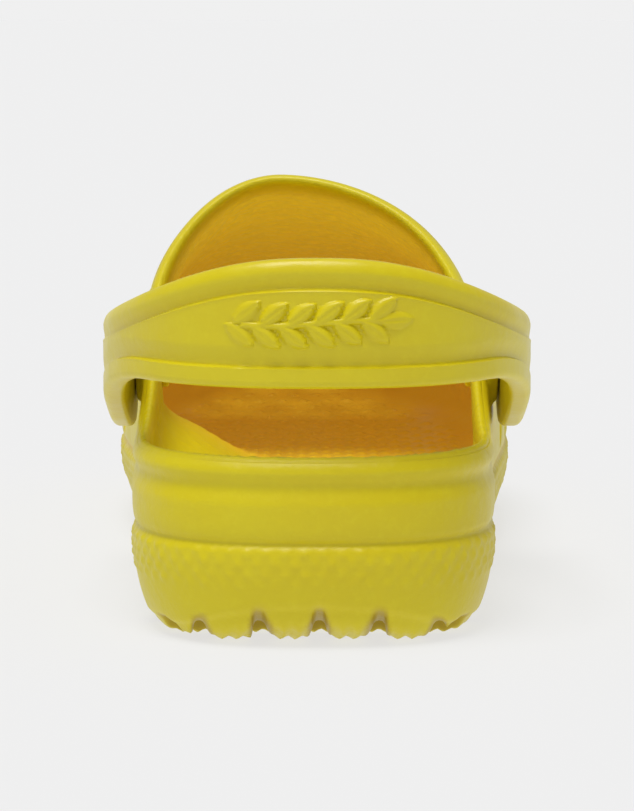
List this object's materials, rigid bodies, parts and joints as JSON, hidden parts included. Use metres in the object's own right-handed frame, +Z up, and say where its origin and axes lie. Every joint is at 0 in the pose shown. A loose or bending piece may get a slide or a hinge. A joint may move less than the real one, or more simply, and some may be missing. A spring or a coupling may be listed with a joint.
{
  "type": "garden clog",
  "caption": "Moulded foam slip-on garden clog for the right foot, with vented upper, lugged sole and a heel strap that swings on two snap rivets.",
  "frame": {"origin": "on the ground under the middle of the whole part's bounding box", "axes": "+Y towards the toe, +X towards the outer (lateral) side of the right foot, +Z up"},
  "size_m": [0.108, 0.283, 0.099],
  "materials": {
    "clog_foam": "satin closed-cell foam skin, bright yellow, finely pebbled",
    "strap_foam": "smooth satin foam skin, bright yellow",
    "rivet_plastic": "semi-gloss yellow moulded plastic"
  },
  "bodies": {
    "clog": {"clog_shell": "clog_foam"},
    "strap": {"heel_strap": "strap_foam"},
    "outer_rivet": {"rivet_button_outer_side": "rivet_plastic", "rivet_cap_outer_side": "rivet_plastic"},
    "inner_rivet": {"rivet_button_inner_side": "rivet_plastic", "rivet_cap_inner_side": "rivet_plastic"}
  },
  "joints": [
    {"name": "strap_swing", "type": "hinge", "parent": "clog", "child": "strap", "pos_m": [0.0008, -0.0335, 0.05242], "axis": [-1, 0, 0], "range_deg": [-5, 140]},
    {"name": "outer_rivet_spin", "type": "hinge", "parent": "clog", "child": "outer_rivet", "pos_m": [0.045, -0.0335, 0.05242], "axis": [1, 0, 0], "continuous": true},
    {"name": "inner_rivet_spin", "type": "hinge", "parent": "clog", "child": "inner_rivet", "pos_m": [-0.0434, -0.0335, 0.05242], "axis": [-1, 0, 0], "continuous": true}
  ]
}
